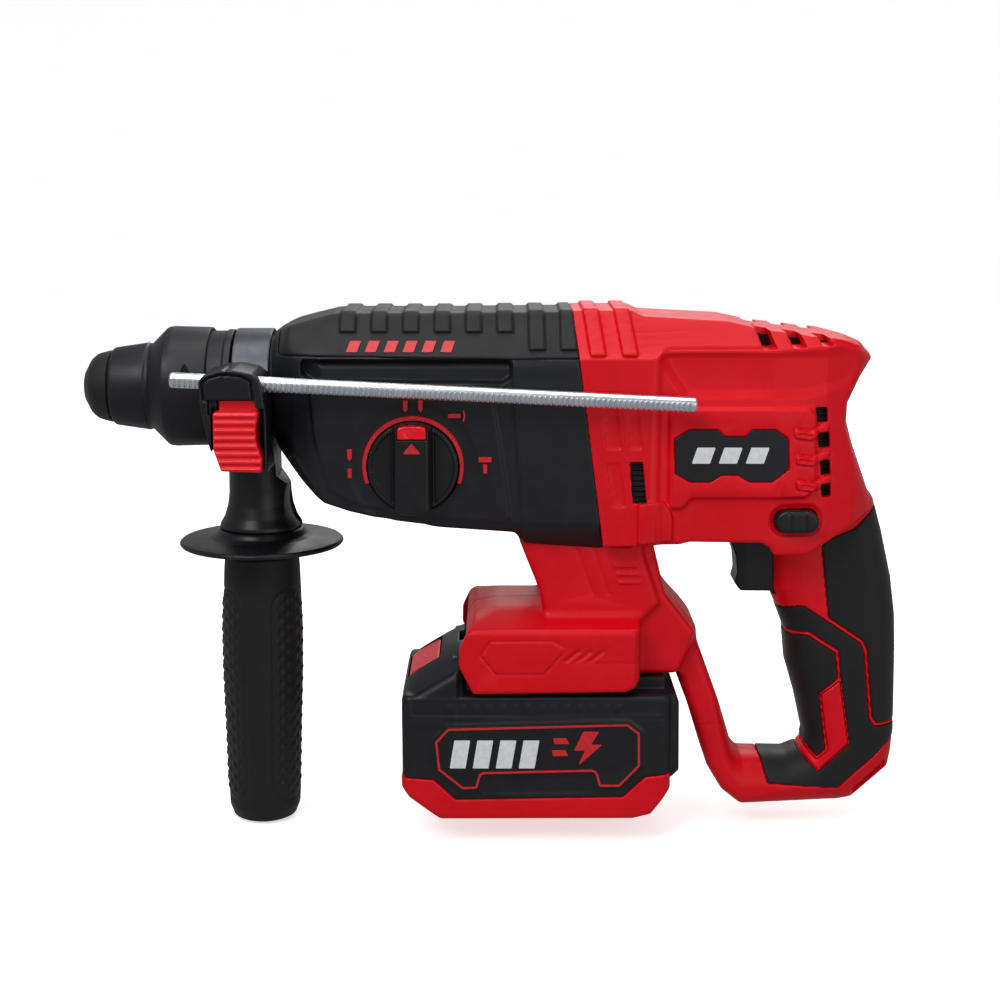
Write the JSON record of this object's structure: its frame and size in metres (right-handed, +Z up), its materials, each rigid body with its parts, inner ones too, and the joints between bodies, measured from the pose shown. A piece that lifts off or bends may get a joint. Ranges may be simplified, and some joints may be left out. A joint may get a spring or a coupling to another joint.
{
  "type": "cordless rotary hammer",
  "caption": "Cordless rotary hammer with a quick-release bit socket, mode dial, rear loop handle, slide battery, and a front side handle with a toothed depth rod.",
  "frame": {"origin": "centre of the mouth of the bit socket, on the tool axis", "axes": "-X is the way a bit leaves, +X is rearwards along the tool, -Y is the side with the mode dial and depth rod, +Z is up"},
  "size_m": [0.3444, 0.0932, 0.2246],
  "materials": {
    "red_plastic": "satin moulded plastic",
    "red_button": "moulded plastic",
    "black_plastic": "fine grained moulded plastic",
    "soft_black": "soft overmould",
    "rubber": "rubber",
    "steel": "machined steel",
    "dark_steel": "black coated steel band",
    "zinc": "zinc plated steel",
    "aluminium": "cast aluminium",
    "cell_wrap": "shrink-wrapped cell, density as aluminium",
    "inner_plastic": "glass-filled plastic"
  },
  "bodies": {
    "housing": {"gear_housing": "black_plastic", "top_pad": "soft_black", "housing_left": "red_plastic", "housing_right": "red_plastic", "housing_screws": "steel", "side_badges": "black_plastic", "grip_overmould": "soft_black", "grip_panels": "red_plastic", "sleeve_cover_ring": "black_plastic", "front_seal": "rubber", "spindle_bearing": "steel", "intermediate_bearings": "steel", "motor_bearings": "steel", "bearing_plate": "aluminium", "plate_screws": "steel", "stator": "steel", "trigger_switch": "inner_plastic", "controller": "aluminium", "wires": "inner_plastic", "dock_rails": "black_plastic", "terminal_block": "inner_plastic", "trigger_spring": "steel"},
    "spindle": {"dust_cap": "rubber", "tool_holder": "steel", "lock_rollers": "steel", "spindle_tube": "steel", "spindle_gear": "steel", "sleeve_spring": "steel"},
    "locking_sleeve": {"locking_sleeve": "black_plastic"},
    "impact_bolt": {"impact_bolt": "steel"},
    "striker": {"striker": "steel"},
    "piston": {"piston": "aluminium"},
    "wobble_bearing": {"wobble_bearing": "steel"},
    "intermediate_shaft": {"intermediate_shaft": "steel", "intermediate_pinion": "steel", "intermediate_gear": "steel", "mode_clutch": "steel"},
    "motor_rotor": {"motor_shaft": "steel", "rotor": "steel", "fan": "inner_plastic"},
    "mode_dial": {"mode_dial": "black_plastic"},
    "dial_button": {"dial_button": "red_button"},
    "trigger": {"trigger": "black_plastic"},
    "reversing_lever": {"reversing_lever": "black_plastic"},
    "side_handle": {"clamp_strap": "dark_steel", "clamp_head": "black_plastic", "clamp_bolt": "steel"},
    "handle_grip": {"handle_flange": "black_plastic", "handle_core": "inner_plastic", "side_grip": "soft_black", "clamp_nut": "steel"},
    "depth_rod": {"depth_rod": "zinc"},
    "rod_button": {"rod_button": "red_button"},
    "battery": {"battery_case_top": "black_plastic", "battery_case_base": "red_plastic", "battery_cells": "cell_wrap", "cell_holder": "inner_plastic", "battery_board": "inner_plastic", "battery_labels": "black_plastic"},
    "battery_latch": {"battery_latch": "red_button"}
  },
  "joints": [
    {"name": "spindle_spin", "type": "hinge", "parent": "housing", "child": "spindle", "pos_m": [0, 0, 0], "axis": [1, 0, 0], "continuous": true},
    {"name": "intermediate_spin", "type": "hinge", "parent": "housing", "child": "intermediate_shaft", "pos_m": [0.15, 0, -0.03188], "axis": [1, 0, 0], "continuous": true},
    {"name": "motor_spin", "type": "hinge", "parent": "housing", "child": "motor_rotor", "pos_m": [0.25, 0, -0.01188], "axis": [1, 0, 0], "continuous": true},
    {"name": "sleeve_pull", "type": "slide", "parent": "spindle", "child": "locking_sleeve", "axis": [1, 0, 0], "range_m": [0, 0.006], "stiffness_N_per_m": 500, "springref_m": -0.004, "deforming": ["sleeve_spring"]},
    {"name": "impact_bolt_slide", "type": "slide", "parent": "spindle", "child": "impact_bolt", "axis": [1, 0, 0], "range_m": [-0.004, 0]},
    {"name": "striker_slide", "type": "slide", "parent": "spindle", "child": "striker", "axis": [1, 0, 0], "range_m": [-0.007, 0.003]},
    {"name": "piston_slide", "type": "slide", "parent": "housing", "child": "piston", "axis": [1, 0, 0], "range_m": [-0.0055, 0.0055]},
    {"name": "wobble_rock", "type": "hinge", "parent": "housing", "child": "wobble_bearing", "pos_m": [0.15, 0, -0.03188], "axis": [0, 1, 0], "range_deg": [-10, 10]},
    {"name": "mode_dial_turn", "type": "hinge", "parent": "housing", "child": "mode_dial", "pos_m": [0.1388, -0.035, -0.0284], "axis": [0, 1, 0], "range_deg": [-100, 95]},
    {"name": "dial_button_press", "type": "slide", "parent": "mode_dial", "child": "dial_button", "axis": [0, 1, 0], "range_m": [0, 0.0018], "stiffness_N_per_m": 600, "springref_m": -0.002},
    {"name": "trigger_pull", "type": "slide", "parent": "housing", "child": "trigger", "axis": [1, 0, 0], "range_m": [0, 0.0075], "stiffness_N_per_m": 900, "springref_m": -0.004, "deforming": ["trigger_spring"]},
    {"name": "reversing_shift", "type": "slide", "parent": "housing", "child": "reversing_lever", "axis": [0, 1, 0], "range_m": [-0.0028, 0.0028]},
    {"name": "side_handle_swivel", "type": "hinge", "parent": "housing", "child": "side_handle", "pos_m": [0.072, 0, 0], "axis": [1, 0, 0], "range_deg": [-180, 5]},
    {"name": "grip_unscrew", "type": "hinge", "parent": "side_handle", "child": "handle_grip", "pos_m": [0.072, 0, -0.1], "axis": [0, 0, 1], "range_deg": [0, 360]},
    {"name": "depth_rod_slide", "type": "slide", "parent": "side_handle", "child": "depth_rod", "axis": [-0.9989, 0, 0.0478], "range_m": [-0.008, 0.15]},
    {"name": "rod_release_press", "type": "slide", "parent": "side_handle", "child": "rod_button", "axis": [0, 1, 0], "range_m": [0, 0.0022], "stiffness_N_per_m": 800, "springref_m": -0.002},
    {"name": "battery_slide", "type": "slide", "parent": "housing", "child": "battery", "axis": [-1, 0, 0], "range_m": [0, 0.038]},
    {"name": "battery_latch_press", "type": "slide", "parent": "battery", "child": "battery_latch", "axis": [0, 0, -1], "range_m": [0, 0.0025], "stiffness_N_per_m": 900, "springref_m": -0.002}
  ],
  "couplings": [
    {"joint": "intermediate_spin", "follows": "spindle_spin", "ratio": -2.4},
    {"joint": "motor_spin", "follows": "spindle_spin", "ratio": 10.933},
    {"joint": "wobble_rock", "follows": "piston_slide", "rad_per_m": 31.373}
  ]
}
